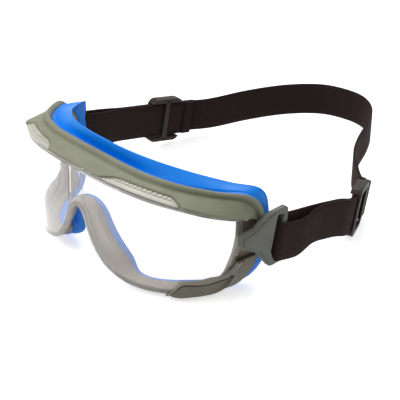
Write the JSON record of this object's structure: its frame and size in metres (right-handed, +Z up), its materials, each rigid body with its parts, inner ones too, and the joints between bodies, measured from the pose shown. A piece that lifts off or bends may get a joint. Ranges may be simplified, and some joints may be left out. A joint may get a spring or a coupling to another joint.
{
  "type": "safety goggles",
  "caption": "Wrap-around safety goggles with a clear lens, soft face seal, vented brow cover and an elastic head strap on pivoting clips.",
  "frame": {"origin": "on the ground, under the middle of the whole object with its strap open behind it", "axes": "the goggles look along -Y, +X is the wearer's left, +Z is up"},
  "size_m": [0.1831, 0.256, 0.0762],
  "materials": {
    "lens": "clear hard-coated polycarbonate",
    "frame": "satin moulded plastic",
    "seal": "soft satin elastomer",
    "brow": "fine satin moulded elastomer",
    "grille": "translucent ribbed insert",
    "trim": "satin moulded elastomer",
    "pin": "moulded acetal",
    "clip": "fine textured moulded plastic",
    "webbing": "woven elastic webbing",
    "thread": "stitching",
    "slider": "satin moulded plastic"
  },
  "bodies": {
    "goggles": {"lens": "lens", "goggle_frame": "frame", "face_seal": "seal", "brow_cover": "brow", "vent_grille_left": "grille", "vent_grille_right": "grille", "lower_trim_left": "trim", "lower_trim_right": "trim", "clip_pin_left": "pin", "clip_pin_right": "pin"},
    "strap": {"strap_clip_left": "clip", "strap_loop_left": "webbing", "strap_loop_right": "webbing", "hem_stitch_left": "thread", "hem_stitch_right": "thread", "strap_band": "webbing"},
    "clip_right": {"strap_clip_right": "clip"},
    "slider_left": {"strap_slider_left": "slider"},
    "slider_right": {"strap_slider_right": "slider"}
  },
  "joints": [
    {"name": "strap_swing", "type": "hinge", "parent": "goggles", "child": "strap", "pos_m": [0.086, -0.0718, 0.03675], "axis": [1, 0, 0], "range_deg": [-25, 20]},
    {"name": "clip_right_swing", "type": "hinge", "parent": "goggles", "child": "clip_right", "pos_m": [-0.086, -0.0718, 0.03675], "axis": [1, 0, 0], "range_deg": [-25, 20]},
    {"name": "slider_left_slide", "type": "slide", "parent": "strap", "child": "slider_left", "axis": [-0.4577, 0.869, -0.1878], "range_m": [-0.0015, 0.0025]},
    {"name": "slider_right_slide", "type": "slide", "parent": "strap", "child": "slider_right", "axis": [0.0776, 0.9779, -0.1941], "range_m": [-0.006, 0.0025]}
  ],
  "couplings": [
    {"joint": "clip_right_swing", "follows": "strap_swing", "ratio": 1}
  ]
}
